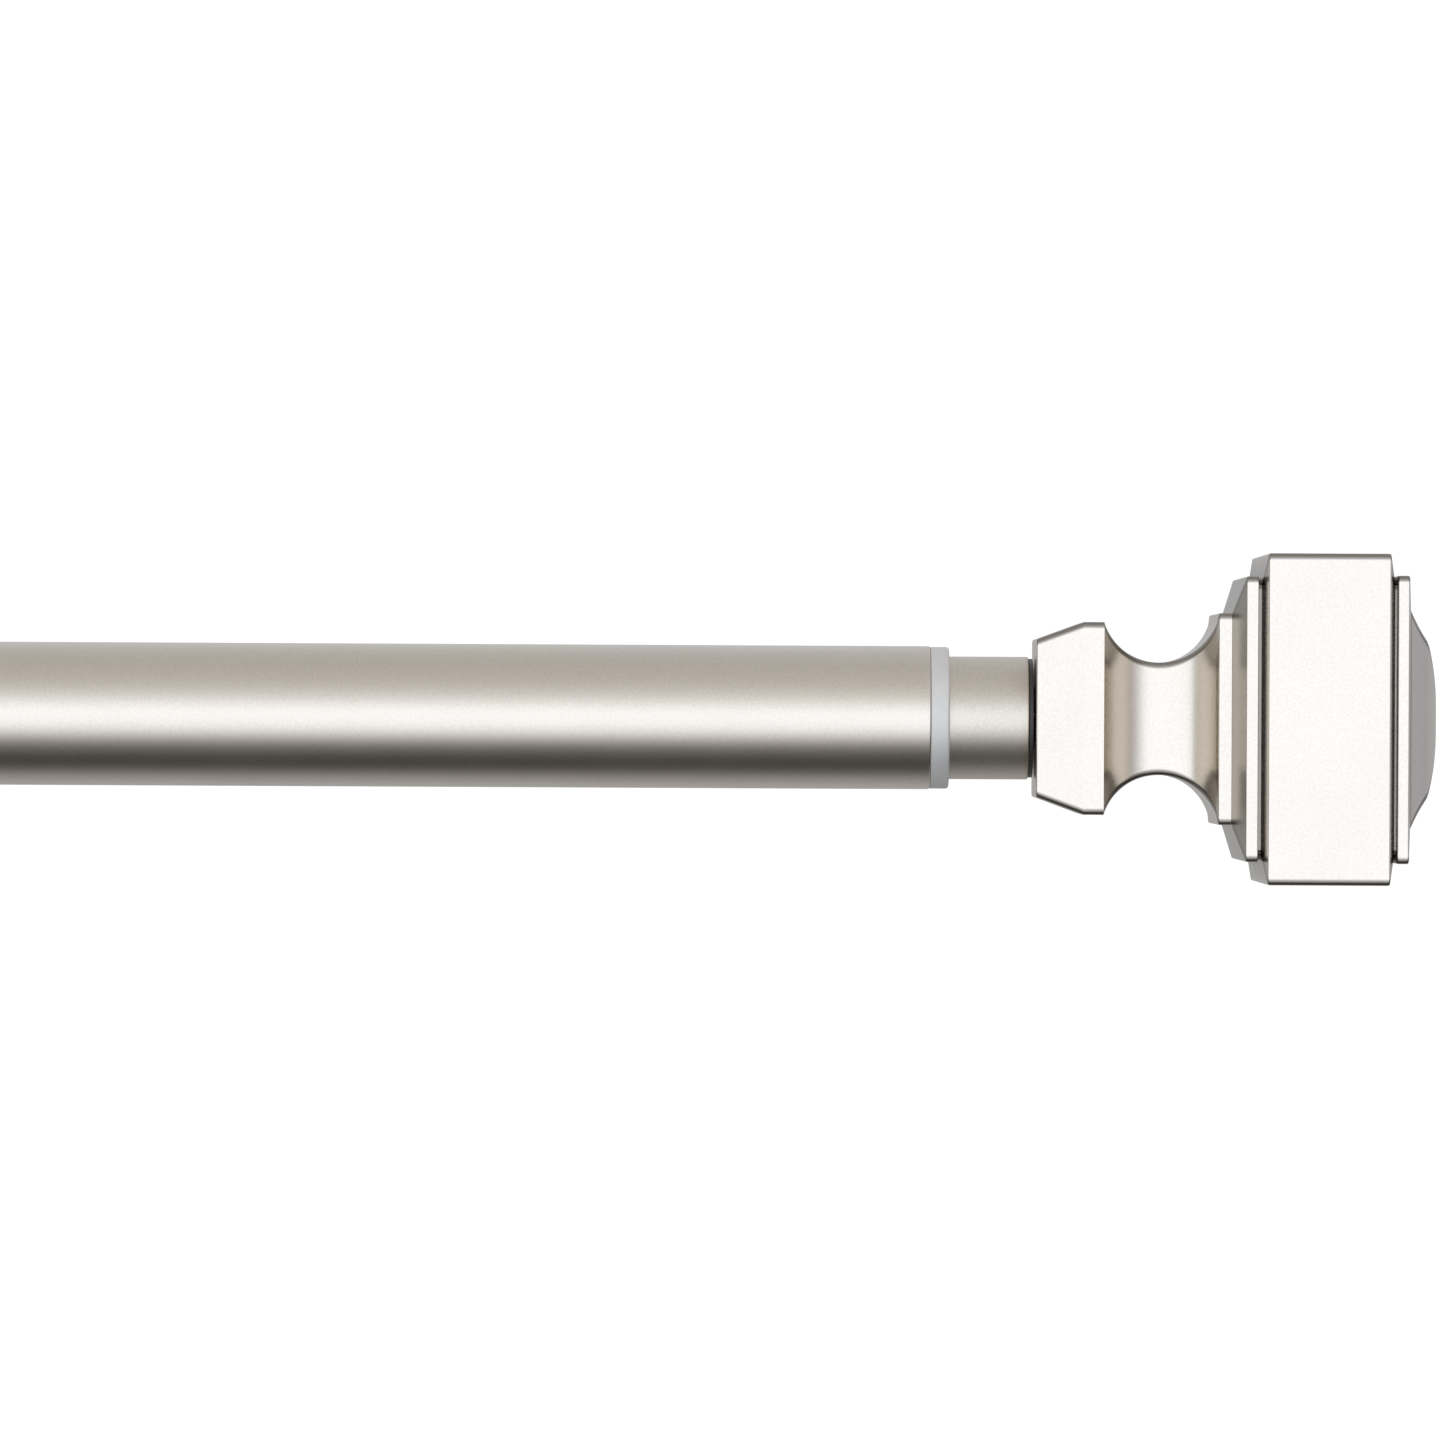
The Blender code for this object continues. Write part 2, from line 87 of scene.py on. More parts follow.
# Camera: places in metres, measured from the right finial's tube face and the rod's axis
PHOTO_FRAME = 1445
FOCAL_PIXELS = 10080
SENSOR = 36.0
CAMERA_DISTANCE = 1.566
CAMERA_LEFT_OF_FINIAL = 0.0484
CAMERA_BELOW_ROD = 0.0009
CAMERA_ROLL = math.radians(0.28)
FLOOR_DROP = 0.25
FLOOR_HALF = 20

# Sizes of the pieces, in millimetres
GAP = 0.3
TUBE_WALL = 0.7
LIP_ROLL = 0.4  # share of the tube's wall that a lip's roll takes
RING_SLEEVE_GAP = 0.1
RING_BORE_GAP = 0.12
RING_LIP_GAP = 0.02  # between the ring's flange and the tube's mouth
GLIDE_GROOVE = (0.35, 0.2, 0.4)  # half width at the top and at the bottom, and depth

EDGE = 0.35
CRISP_EDGE = 0.15
CAST_CORNER = 0.75
FLAT_EDGE = 0.8  # how far the painted shade of an edge reaches onto a flat end
FLAT_STEP = 0.005  # stations that are closer than this lie on one flat end
NUDGE = 0.01  # keeps two points of an outline apart
OVERRUN = 1.0  # how far a cutter runs past the face that it opens
HOLE_SIDES = 48
TUBE_SIDES = 192
RING_SIDES = 160
SCREW_SIDES = 32  # every station of a screw has this many points
GROOVE_HALF = 20.6
SHOULDER = 0.9
SHOULDER_HALF = 21.0
SHOULDER_BEND = (0.2, 0.8)  # shares of the shoulder's length and height at which its slope changes

NECK_HALF = 12.2
COLLAR_HALF = 14.85
COLLAR_START = 7.2
SCOTIA_MIDDLE = 19.0
SCOTIA_WAIST = 8.7
SCOTIA_R = 9.2
SCOTIA_STEPS = 40
PLATE_1 = (27.9, 29.9, 16.3)  # start, end and half width
PLATE_2 = (31.9, 33.7, 21.9)
BLOCK = (35.1, 53.75, 25.4)
BLOCK_SHADE = (0.9, 0.15)  # shares of the shoulder at which the painted shade of a recess starts to fade, and ends
PLATE_3 = (54.95, 56.85, 22.1)
CAP = (57.35, 60.25, 16.9, 12.15)  # start and end of its slope, and the half width at each
CAP_SAG = 0.25
CAP_STEPS = 8
DOME_TIP = 62.35
DOME_R = 36.7
DOME_STEPS = 14

STUD_R = 3.0
STUD_PITCH = 1.25
FINIAL_BORE = 13.8
INSERT_KNURL = 0.3
INSERT_TEETH = 24
INSERT_BANDS = ((0.1, 0.42), (0.58, 0.9))  # shares of the insert's length
PLUG_HOLE = 10.0
PLUG_RIM = 0.65
PLUG_GROOVES = 4
PLUG_GROOVE = (0.6, 0.3, 0.4)  # half width at the top and at the bottom, and depth
PLUG_FIT = 0.15

SHEET_WALL = 1.5
SHEET_LIP = 0.3
TUBE_CORNER = 0.95
PLATE_CORNER = 3.0
WALL_SCREW_OFFSET = 16.0
SCREW_R = 2.0
WALL_SCREW_HEAD = (4.0, 2.1)  # radius and height
CRADLE_SCREW_HEAD = (3.6, 1.8)
WALL_SCREW_PITCH = 1.5
WALL_SCREW_POINT = 6.0
WALL_SCREW_CROSS = 2.3
CRADLE_SCREW_CROSS = 2.0
SCREW_RUNOUT = 0.8
SCREW_NECK = (0.5, 0.9, 0.95)  # length, and shares of the radius at its start and end
SCREW_RIM = (0.2, 0.15)  # height and slope
CROSS_HALF = (0.45, 0.3)  # half width of a cross recess's arms at the face and at the bottom
CROSS_TAPER = 0.7  # how long the arms are at the bottom, as a share
CROSS_DEPTH = (0.7, 0.9)  # shares of the head's height, at the arms' ends and in the middle
MACHINE_PITCH = 0.7
MACHINE_POINT = 0.8
THREAD_DEPTH = 0.43  # share of the pitch
LOCK_PLACE = 44.0

COVER_RECESS = (5.6, 23.2)  # depth and half width
COVER_BLOCK = 7.9
COVER_PLATE = (9.3, 11.5, 21.9)  # start, end and half width
COVER_COVE = (19.5, 12.5)  # its end, and the half width there
COVE_LEDGE = 0.4
COVE_STEPS = 24
COVER_COLLAR_HALF = 14.85
COVER_HOLE = 8.45
SET_SCREW_PLACE = 23.5
SET_SCREW_PITCH = 0.5
SET_SCREW_KEY = 0.75

CRADLE_WALL = 2.8
CRADLE_TIP = 6.5
CRADLE_FOOT = 14.0
CRADLE_CORNER = 4.0
CRADLE_TIP_EDGE = 1.2
CRADLE_KNEE_EDGE = 1.5
CRADLE_FOOT_EDGE = 1.0
# How much smaller the cradle is at each distance from its side
CRADLE_SIDES = ((0, 0.4), (0.12, 0.12), (0.4, 0))
CRADLE_STEPS = 48

ARM_CAP_EDGE = (0.7, 1.6)  # length and height of the slope around the end cap's face
ARM_CAP_FLAT = 2.5  # from the cap's side to the even part of its face

KNOB_NECK = 4.0
KNOB_BORE = 5.0
KNOB_TEETH = 30
KNURL = 0.35

# Which way a piece's own +X axis points in place
TO_RIGHT = Matrix.Identity(4)
TO_LEFT = Matrix.Rotation(math.pi, 4, "Z")
TO_ROOM = Matrix.Rotation(-math.pi / 2, 4, "Z")
UP = Matrix.Rotation(-math.pi / 2, 4, "Y")
DOWN = Matrix.Rotation(math.pi / 2, 4, "Y")

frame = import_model()
cad_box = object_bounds()


# Outlines


def arc(centre, radius, start, end, steps):
    """Points on an arc from the start angle to the end angle, in degrees."""
    turns = [math.radians(start + (end - start) * i / steps) for i in range(steps + 1)]
    return [
        (centre[0] + radius * math.cos(t), centre[1] + radius * math.sin(t))
        for t in turns
    ]


def fillet(corners, steps=4, closed=False):
    """Rounds the corners (x, y, radius) of an outline. A corner with no radius stays sharp."""
    most = 0.45  # how much of a side one corner may take
    out = []
    count = len(corners)
    for i, (x, y, *radius) in enumerate(corners):
        inside = closed or 0 < i < count - 1
        if not inside or not radius:
            out.append((x, y))
            continue
        here = Vector((x, y))
        before = Vector(corners[i - 1][:2]) - here
        after = Vector(corners[(i + 1) % count][:2]) - here
        reach = radius[0] / math.tan(before.angle(after) / 2)
        reach = min(reach, most * before.length, most * after.length)
        first = here + before.normalized() * reach
        last = here + after.normalized() * reach
        for k in range(steps + 1):
            t = k / steps
            point = first * (1 - t) ** 2 + here * 2 * t * (1 - t) + last * t**2
            out.append((point.x, point.y))
    return out


def inset(outline, distance):
    """An anticlockwise outline moved inwards."""
    out = []
    for i, point in enumerate(outline):
        here = Vector(point)
        before = (here - Vector(outline[i - 1])).normalized()
        after = (Vector(outline[(i + 1) % len(outline)]) - here).normalized()
        along = (before + after).normalized()
        out.append((here.x - along.y * distance, here.y + along.x * distance))
    return out


def around(reach, sides):
    """Points around the axis, at the distance that reach gives for each angle."""
    turns = [2 * math.pi * i / sides for i in range(sides)]
    return [(reach(t) * math.cos(t), reach(t) * math.sin(t)) for t in turns]


def circle(radius, sides=SCREW_SIDES):
    return around(lambda turn: radius, sides)


def hexagon(across):
    """A hexagon whose flats are this far from its middle."""
    sector = math.pi / 3
    return around(lambda turn: across / math.cos(turn % sector - sector / 2), SCREW_SIDES)


def cross(reach, width):
    """The outline of a cross-head recess, with arms that long and half that wide."""

    def distance(turn):
        c = abs(math.cos(turn)) + 1e-6
        s = abs(math.sin(turn)) + 1e-6
        return max(min(reach / c, width / s), min(width / c, reach / s))

    return around(distance, SCREW_SIDES)


def fluted(radius, depth, teeth):
    """A circle with straight flutes cut into it, four points to each."""
    out = []
    for i in range(4 * teeth):
        turn = 2 * math.pi * i / (4 * teeth)
        r = radius if i % 4 < 2 else radius - depth
        out.append((r * math.cos(turn), r * math.sin(turn)))
    return out


CORNER_STEPS = 5
SIDE_STEPS = 8
EDGE_BAND = 0.3
# painted shade: 1 on the points of each rounded corner, where dark edge lines are painted, and 0 along
# the sides
SQUARE_EDGE_SHADE = 4 * ([1.0] * (CORNER_STEPS + 1) + [0.0] * (SIDE_STEPS + 1))


def square(half, corner=CAST_CORNER):
    """Points around a square with round corners, and a narrow band beside each corner."""
    radius = min(corner, half * 0.9)
    inner = half - radius
    band = min(EDGE_BAND, inner * 0.3)
    steps = [band] + [2 * inner * k / SIDE_STEPS for k in range(1, SIDE_STEPS)] + [2 * inner - band]
    out = []
    for i, (y, z) in enumerate([(1, 1), (-1, 1), (-1, -1), (1, -1)]):
        bend = arc((y * inner, z * inner), radius, 90 * i, 90 * i + 90, CORNER_STEPS)
        along = math.radians(90 * i + 180)
        last = bend[-1]
        bend += [(last[0] + s * math.cos(along), last[1] + s * math.sin(along)) for s in steps]
        out += bend
    return out


def square_to_circle(radius):
    """A circle with as many points as a square, so that the two can be joined."""
    return [tuple(radius * Vector(point).normalized()) for point in square(1.0)]


# Meshes


def bridge(mesh, ring, following):
    count = max(len(ring), len(following))
    for i in range(count):
        j = (i + 1) % count
        corners = [
            ring[i % len(ring)],
            ring[j % len(ring)],
            following[j % len(following)],
            following[i % len(following)],
        ]
        mesh.faces.new(list(dict.fromkeys(corners)))


def painted_shade_of(stations, i, recesses):
    """How much painted shade darkens the surface at each point of a station, from 0 to 1.

    A flat end gets none. Painted shade lies along the rounded long edges, and a recess (start, end,
    depth) gets painted shade at least as dark as its depth all round.
    """
    x, points = stations[i]
    steps = [abs(stations[j % len(stations)][0] - x) for j in (i - 1, i + 1)]
    if len(points) != len(SQUARE_EDGE_SHADE) or max(steps) < FLAT_STEP:
        return [0.0] * len(points)
    for start, end, depth in recesses:
        if start < x < end:
            return [max(depth, amount) for amount in SQUARE_EDGE_SHADE]
    return SQUARE_EDGE_SHADE


def loft(stations, closed=False, recesses=()):
    """A solid through the stations (x, points in Y and Z), which stores at each point how much painted
    shade it gets.
    """
    mesh = bmesh.new()
    layer = mesh.verts.layers.float.new("painted_shade")
    rings = []
    for i, (x, points) in enumerate(stations):
        ring = [mesh.verts.new((x, y, z)) for y, z in points]
        for vertex, amount in zip(ring, painted_shade_of(stations, i, recesses)):
            vertex[layer] = amount
        rings.append(ring)
    for ring, following in zip(rings, rings[1:]):
        bridge(mesh, ring, following)
    if closed:
        bridge(mesh, rings[-1], rings[0])
    else:
        for end in (rings[0], rings[-1]):
            if len(end) > 1:
                mesh.faces.new(end)
    return mesh


def stations_of(profile, section):
    """Stations at (x, size). A size of 0 is a point on the axis."""
    return [(x, section(size) if size > 0 else [(0, 0)]) for x, size in profile]


def turned(profile, sides=96, closed=False):
    return loft(stations_of(profile, lambda radius: circle(radius, sides)), closed)


def squared(profile, corner=CAST_CORNER, closed=False, recesses=()):
    """A square solid. Its long edges get painted shade, and each recess (start, end, depth) gets painted
    shade all round.
    """
    return loft(stations_of(profile, lambda half: square(half, corner)), closed, recesses)


def thread(length, radius, pitch, point=MACHINE_POINT, per_turn=8):
    """Stations of a screw thread from its tip, where it narrows to a point of that length."""
    tip = 0.2  # how wide the thread is at its tip, as a share
    stations = [(0, [(0, 0)])]
    count = round(length / pitch * per_turn)
    depth = THREAD_DEPTH * pitch
    for i in range(count + 1):
        x = length * i / count
        grow = min(1.0, tip + (1 - tip) * x / point)

        def ridge(turn):
            phase = (x / pitch - turn / (2 * math.pi)) % 1.0
            return (radius - depth * abs(2 * phase - 1)) * grow

        stations.append((x, around(ridge, SCREW_SIDES)))
    return stations


def add(name, mesh, look, place, turn=TO_RIGHT, smooth=SMOOTH_ANGLE):
    """Puts a mesh in place as an object with one material."""
    bmesh.ops.recalc_face_normals(mesh, faces=mesh.faces)
    data = bpy.data.meshes.new(name)
    mesh.to_mesh(data)
    mesh.free()
    data.transform(Matrix.Translation(place) @ turn @ Matrix.Scale(MM, 4))
    data.shade_smooth()
    data.set_sharp_from_angle(angle=math.radians(smooth))
    if look:
        data.materials.append(look)
    made = bpy.data.objects.new(name, data)
    bpy.context.scene.collection.objects.link(made)
    return made


def flatten(piece):
    """Keeps flat faces flat beside their rounded edges."""
    weighted = piece.modifiers.new("weighted", "WEIGHTED_NORMAL")
    weighted.keep_sharp = True
    weighted.weight = 80


def drill(piece, mesh, place, turn):
    """Cuts a hole for good, so that no cutter is left."""
    cutter = add("cutter", mesh, None, place, turn)
    boolean = piece.modifiers.new("drill", "BOOLEAN")
    boolean.operation = "DIFFERENCE"
    boolean.object = cutter
    bpy.context.view_layer.update()
    graph = bpy.context.evaluated_depsgraph_get()
    piece.data, old = bpy.data.meshes.new_from_object(piece.evaluated_get(graph)), piece.data
    piece.modifiers.remove(boolean)
    bpy.data.objects.remove(cutter)
    bpy.data.meshes.remove(old)
    piece.data.set_sharp_from_angle(angle=math.radians(SMOOTH_ANGLE))


def pin(low, high, radius):
    """A plain cutter for a round hole."""
    return turned([(low, 0), (low, radius), (high, radius), (high, 0)], HOLE_SIDES)


def extent(node, turn):
    """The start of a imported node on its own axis, with its length and half width in millimetres."""
    low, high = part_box(node)
    axis = turn.to_3x3() @ Vector((1, 0, 0))
    half = (high - low) / 2
    along = abs(half.dot(axis))
    across = max(abs(size * (1 - abs(way))) for size, way in zip(half, axis))
    return (low + high) / 2 - axis * along, 2 * along / MM, across / MM


def stand_for(piece, node):
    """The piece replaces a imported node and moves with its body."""
    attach(piece, frame["nodes"][node]["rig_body"])
    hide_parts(node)


# Materials


# Scales of the noises
CLOUDS = 60
PLASTIC_CLOUDS = 180
PLASTIC_GRAIN = 1500

GRAIN_HEIGHT = 0.00002  # in metres
METAL_GLOSS_RANGE = 0.02
PLASTIC_GLOSS_RANGE = 0.05
PLASTIC_CONTRAST = 0.04
PLASTIC_IOR = 1.48


def material(name):
    made = bpy.data.materials.new(name)
    made.use_nodes = True
    tree = made.node_tree
    return made, tree.nodes, tree.links, tree.nodes["Principled BSDF"]


def noise(nodes, links, scale, detail=2.0, stretch=(1, 1, 1)):
    place = nodes.new("ShaderNodeTexCoord")
    mapping = nodes.new("ShaderNodeMapping")
    mapping.inputs["Scale"].default_value = stretch
    links.new(place.outputs["Object"], mapping.inputs["Vector"])
    texture = nodes.new("ShaderNodeTexNoise")
    texture.inputs["Scale"].default_value = scale
    texture.inputs["Detail"].default_value = detail
    links.new(mapping.outputs["Vector"], texture.inputs["Vector"])
    return texture.outputs["Fac"]


def remap(nodes, links, value, low, high, start=0.3, end=0.7):
    """Stretches the values from start to end, by default the usual ones of a noise, to low and high."""
    made = nodes.new("ShaderNodeMapRange")
    made.inputs["From Min"].default_value = start
    made.inputs["From Max"].default_value = end
    made.inputs["To Min"].default_value = low
    made.inputs["To Max"].default_value = high
    links.new(value, made.inputs["Value"])
    return made.outputs["Result"]


def mix_colours(nodes, links, factor, first, second):
    """Mixes two colours, each a fixed one or another node's."""
    made = nodes.new("ShaderNodeMix")
    made.data_type = "RGBA"
    for socket, colour in (("A", first), ("B", second)):
        if isinstance(colour, tuple):
            made.inputs[socket].default_value = (*colour, 1)
        else:
            links.new(colour, made.inputs[socket])
    links.new(factor, made.inputs["Factor"])
    return made.outputs["Result"]


def bump(nodes, links, shader, height, strength):
    made = nodes.new("ShaderNodeBump")
    made.inputs["Strength"].default_value = strength
    made.inputs["Distance"].default_value = GRAIN_HEIGHT
    links.new(height, made.inputs["Height"])
    links.new(made.outputs["Normal"], shader.inputs["Normal"])


def shade(colour, factor):
    return tuple(min(1.0, c * factor) for c in colour)


def metal(name, colour, rough, grain, contrast, stretch=(1, 1, 1), edge=1.0):
    """Metal or metallic paint: a fine grain, cloudy gloss, and painted shade that darkens the colour by
    the given factor where the mesh marks its edges and recesses.
    """
    made, nodes, links, shader = material(name)
    shader.inputs["Metallic"].default_value = 1.0
    fine = noise(nodes, links, grain, 2.0, stretch)
    cloudy = noise(nodes, links, CLOUDS, 3.0)
    light = shade(colour, 1 + contrast)
    dark = shade(colour, 1 - contrast)
    paint = mix_colours(nodes, links, remap(nodes, links, fine, 0.0, 1.0), dark, light)
    if edge != 1.0:
        # painted shade: the paint darkens towards the given factor where the mesh's mark for it is 1
        painted_shade = nodes.new("ShaderNodeAttribute")
        painted_shade.attribute_name = "painted_shade"
        paint = mix_colours(nodes, links, painted_shade.outputs["Fac"], paint, shade(colour, edge))
    links.new(paint, shader.inputs["Base Color"])
    gloss = remap(nodes, links, cloudy, rough - METAL_GLOSS_RANGE, rough + METAL_GLOSS_RANGE)
    links.new(gloss, shader.inputs["Roughness"])
    bump(nodes, links, shader, fine, 0.35)
    return made


def plastic(name, colour, rough, pearl=0.0, clear=0.0):
    """Moulded plastic with a faint cloudiness and a matt skin."""
    made, nodes, links, shader = material(name)
    cloudy = noise(nodes, links, PLASTIC_CLOUDS, 3.0)
    factor = remap(nodes, links, cloudy, 0.0, 1.0)
    dark = shade(colour, 1 - PLASTIC_CONTRAST)
    light = shade(colour, 1 + PLASTIC_CONTRAST)
    links.new(mix_colours(nodes, links, factor, dark, light), shader.inputs["Base Color"])
    gloss = remap(nodes, links, cloudy, rough - PLASTIC_GLOSS_RANGE, rough + PLASTIC_GLOSS_RANGE)
    links.new(gloss, shader.inputs["Roughness"])
    shader.inputs["IOR"].default_value = PLASTIC_IOR
    shader.inputs["Metallic"].default_value = pearl
    shader.inputs["Transmission Weight"].default_value = clear
    bump(nodes, links, shader, noise(nodes, links, PLASTIC_GRAIN), 0.3)
    return made


NICKEL = (0.60, 0.545, 0.475)
nickel_tube = metal("satin_nickel_tube", NICKEL, 0.30, 3200, 0.06)
nickel_inner = metal("satin_nickel_inner_tube", NICKEL, 0.41, 3200, 0.07)
nickel_bar = metal("satin_nickel_bar", NICKEL, 0.32, 2400, 0.07, stretch=(1, 0.08, 1))
# the cast pieces carry painted shade at their edges and recesses, down to 0.42 of their colour
nickel_cast = metal("satin_nickel_cast", NICKEL, 0.26, 2600, 0.04, edge=0.42)
nickel_knob = metal("satin_nickel_knob", NICKEL, 0.28, 2600, 0.05)
zinc_sheet = metal("zinc_sheet", (0.66, 0.67, 0.66), 0.30, 900, 0.10)
zinc_thread = metal("zinc_thread", (0.60, 0.60, 0.58), 0.32, 4000, 0.08)
brass = metal("turned_brass", (0.78, 0.60, 0.28), 0.26, 2500, 0.06, stretch=(8, 1, 1))
ring_plastic = plastic("frosted_clear_plastic", (0.655, 0.63, 0.595), 0.46, pearl=0.2, clear=0.1)
plug_plastic = plastic("grey_moulded_plastic", (0.30, 0.30, 0.29), 0.45)
# near-black: the plug is a real part, and its dark rim at the finial's neck is painted shade for the gap
# there
plug_gap_shade_plastic = plastic("dark_plug_plastic_gap_shade", (0.035, 0.033, 0.030), 0.45)


# Rod

outer_start, outer_length, OUTER_R = extent("outer_tube", TO_RIGHT)
inner_start, inner_length, INNER_R = extent("inner_tube", TO_RIGHT)
ROD = outer_start - Vector((outer_start.x, 0, 0))


def on_rod(x):
    return ROD + Vector((x, 0, 0))


FACE = {
    "left": on_rod(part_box("finial_left")[1].x),
    "right": on_rod(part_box("finial_right")[0].x),
}
OUTWARD = {"left": TO_LEFT, "right": TO_RIGHT}
TUBE_R = {"left": OUTER_R, "right": INNER_R}


def add_tube(node, start, length, radius, look):
    """A steel tube with a small roll on each lip."""
    lip = TUBE_WALL * LIP_ROLL
    bore = radius - TUBE_WALL
    corners = [(0, radius, lip), (length, radius, lip), (length, bore, lip), (0, bore, lip)]
    mesh = turned(fillet(corners, 3, closed=True), TUBE_SIDES, closed=True)
    stand_for(add(f"{node}_steel", mesh, look, start), node)


def add_ring():
    """The bushing in the outer tube's mouth: a flange outside, and a sleeve inside the bore."""
    start, length, radius = extent("mouth_ring", TO_RIGHT)
    mouth = outer_length - (start.x - outer_start.x) / MM
    sleeve = OUTER_R - TUBE_WALL - RING_SLEEVE_GAP
    bore = INNER_R + RING_BORE_GAP
    corners = [
        (0, sleeve, 0.1),
        (mouth + RING_LIP_GAP, sleeve),
        (mouth + RING_LIP_GAP, radius, 0.15),
        (length, radius, 0.5),
        (length, bore, 0.2),
        (0, bore, 0.1),
    ]
    mesh = turned(fillet(corners, 4, closed=True), RING_SIDES, closed=True)
    stand_for(add("mouth_ring_bushing", mesh, ring_plastic, start), "mouth_ring")


def add_glide():
    """The plug on the inner tube's hidden end, with two grooves around its flange."""
    start, length, radius = extent("tail_glide", TO_RIGHT)
    flange = (inner_start.x - start.x) / MM - GAP
    spigot = INNER_R - TUBE_WALL - GAP
    top, bottom, depth = GLIDE_GROOVE
    corners = [(0, 0), (0, radius, 0.5)]
    for middle in (flange / 3, 2 * flange / 3):
        corners += [(middle - top, radius, 0.1), (middle - bottom, radius - depth, 0.1)]
        corners += [(middle + bottom, radius - depth, 0.1), (middle + top, radius, 0.1)]
    corners += [(flange, radius, 0.3), (flange, spigot), (length, spigot, 0.8), (length, 0)]
    mesh = turned(fillet(corners, 3))
    stand_for(add("tail_glide_plug", mesh, plug_plastic, start), "tail_glide")


def finial_profile():
    """The finial's half width along its axis from the tube face, with each edge rounded."""
    centre = (SCOTIA_MIDDLE, SCOTIA_WAIST + SCOTIA_R)
    reach = math.degrees(math.acos((centre[1] - COLLAR_HALF) / SCOTIA_R))
    scotia = arc(centre, SCOTIA_R, 270 - reach, 270 + reach, SCOTIA_STEPS)
    corners = [(0, NECK_HALF - FLAT_EDGE), (0, NECK_HALF, EDGE)]
    corners += [(COLLAR_START, COLLAR_HALF, EDGE), scotia[0]]
    corners += scotia[1:]
    for start, end, half in (PLATE_1, PLATE_2):
        corners += [(start, half, EDGE), (end, half, CRISP_EDGE)]
    start, end, half = BLOCK
    bend, rise = SHOULDER_BEND
    nearly = SHOULDER_HALF + rise * (half - SHOULDER_HALF)
    corners += [
        (PLATE_2[1] + NUDGE, GROOVE_HALF),
        (start - SHOULDER, GROOVE_HALF),
        (start - SHOULDER, SHOULDER_HALF),
        (start - bend * SHOULDER, nearly),
        (start, half, EDGE),
        (end, half, EDGE),
        (end + bend * SHOULDER, nearly),
        (end + SHOULDER, SHOULDER_HALF),
        (end + SHOULDER, GROOVE_HALF),
        (PLATE_3[0] - NUDGE, GROOVE_HALF),
        (PLATE_3[0], PLATE_3[2], EDGE),
        (PLATE_3[1], PLATE_3[2], EDGE),
    ]
    start, end, wide, narrow = CAP
    for i in range(CAP_STEPS + 1):
        t = i / CAP_STEPS
        sag = CAP_SAG * math.sin(t * math.pi)
        corners.append((start + (end - start) * t, wide + (narrow - wide) * t - sag))
    for i in range(1, DOME_STEPS):
        half = narrow * (1 - i / DOME_STEPS)
        corners.append((DOME_TIP - half**2 / (2 * DOME_R), half))
    corners.append((DOME_TIP, 0))
    return fillet([(0, 0)] + corners, 4)[1:]


def add_finial(side):
    place = FACE[side]
    turn = OUTWARD[side]
    bore = extent(f"thread_insert_{side}", turn)[2] + GAP
    stations = [
        (FINIAL_BORE, [(0, 0)]),
        (FINIAL_BORE, square_to_circle(bore)),
        (GAP, square_to_circle(bore)),
        (0, square_to_circle(bore + GAP)),
        (0, square_to_circle(bore + 2 * GAP)),
    ]
    stations += stations_of(finial_profile(), square)
    far, near = [share * SHOULDER for share in BLOCK_SHADE]
    # Each recess has its start, its end and how dark its painted shade is
    recesses = [
        (PLATE_1[1], PLATE_2[0], 0.6),
        (PLATE_2[1], BLOCK[0] - far, 1.0),
        (BLOCK[0] - far, BLOCK[0] - near, 0.3),
        (BLOCK[1] + near, PLATE_3[0], 1.0),
    ]
    mesh = loft(stations, recesses=recesses)
    cast = add(f"finial_{side}_casting", mesh, nickel_cast, place, turn, CAST_ANGLE)
    flatten(cast)
    stand_for(cast, f"finial_{side}")


def add_insert(side):
    """The brass insert: two knurled bands with a plain groove between them."""
    node = f"thread_insert_{side}"
    start, length, radius = extent(node, OUTWARD[side])
    bore = STUD_R + GAP
    plain = radius - INSERT_KNURL
    profile = [(0, bore, 0), (0, plain, 0)]
    for low, high in INSERT_BANDS:
        profile += [(low * length, plain, 0), (low * length + INSERT_KNURL, radius, INSERT_KNURL)]
        profile += [(high * length - INSERT_KNURL, radius, INSERT_KNURL), (high * length, plain, 0)]
    profile += [(length, plain, 0), (length, bore, 0)]
    stations = [(x, fluted(r, depth, INSERT_TEETH)) for x, r, depth in profile]
    mesh = loft(stations, closed=True)
    stand_for(add(f"{node}_brass", mesh, brass, start, OUTWARD[side]), node)


def add_stud(side):
    node = f"finial_stud_{side}"
    start, length, radius = extent(node, OUTWARD[side])
    mesh = loft(thread(length, radius, STUD_PITCH))
    stand_for(add(f"{node}_thread", mesh, zinc_thread, start, OUTWARD[side]), node)


def add_plug(side):
    """The grooved plug in the tube's end. The finial's stud screws into it, and its rim shows; the plug
    is a real part, and its near-black colour there is painted shade for the gap at the finial's neck.
    """
    node = f"end_plug_{side}"
    start, length, radius = extent(node, OUTWARD[side])
    body = TUBE_R[side] - TUBE_WALL - PLUG_FIT
    hole = STUD_R + GAP
    top, bottom, depth = PLUG_GROOVE
    corners = [(0, 0), (0, body, 0.8)]
    for i in range(1, PLUG_GROOVES + 1):
        x = length * i / (PLUG_GROOVES + 1)
        corners += [(x - top, body), (x - bottom, body - depth)]
        corners += [(x + bottom, body - depth), (x + top, body)]
    rim = length - PLUG_RIM
    corners += [(rim, body), (rim, radius, 0.1), (length, radius, 0.1), (length, hole, 0.3)]
    corners += [(length - PLUG_HOLE, hole), (length - PLUG_HOLE, 0)]
    mesh = turned(fillet(corners, 3))
    stand_for(add(f"{node}_plastic", mesh, plug_gap_shade_plastic, start, OUTWARD[side]), node)


# Brackets


def wall_point(side):
    """Where the middle of the bracket's wall plate meets the wall."""
    return extent(f"wall_plate_{side}", TO_ROOM)[0]


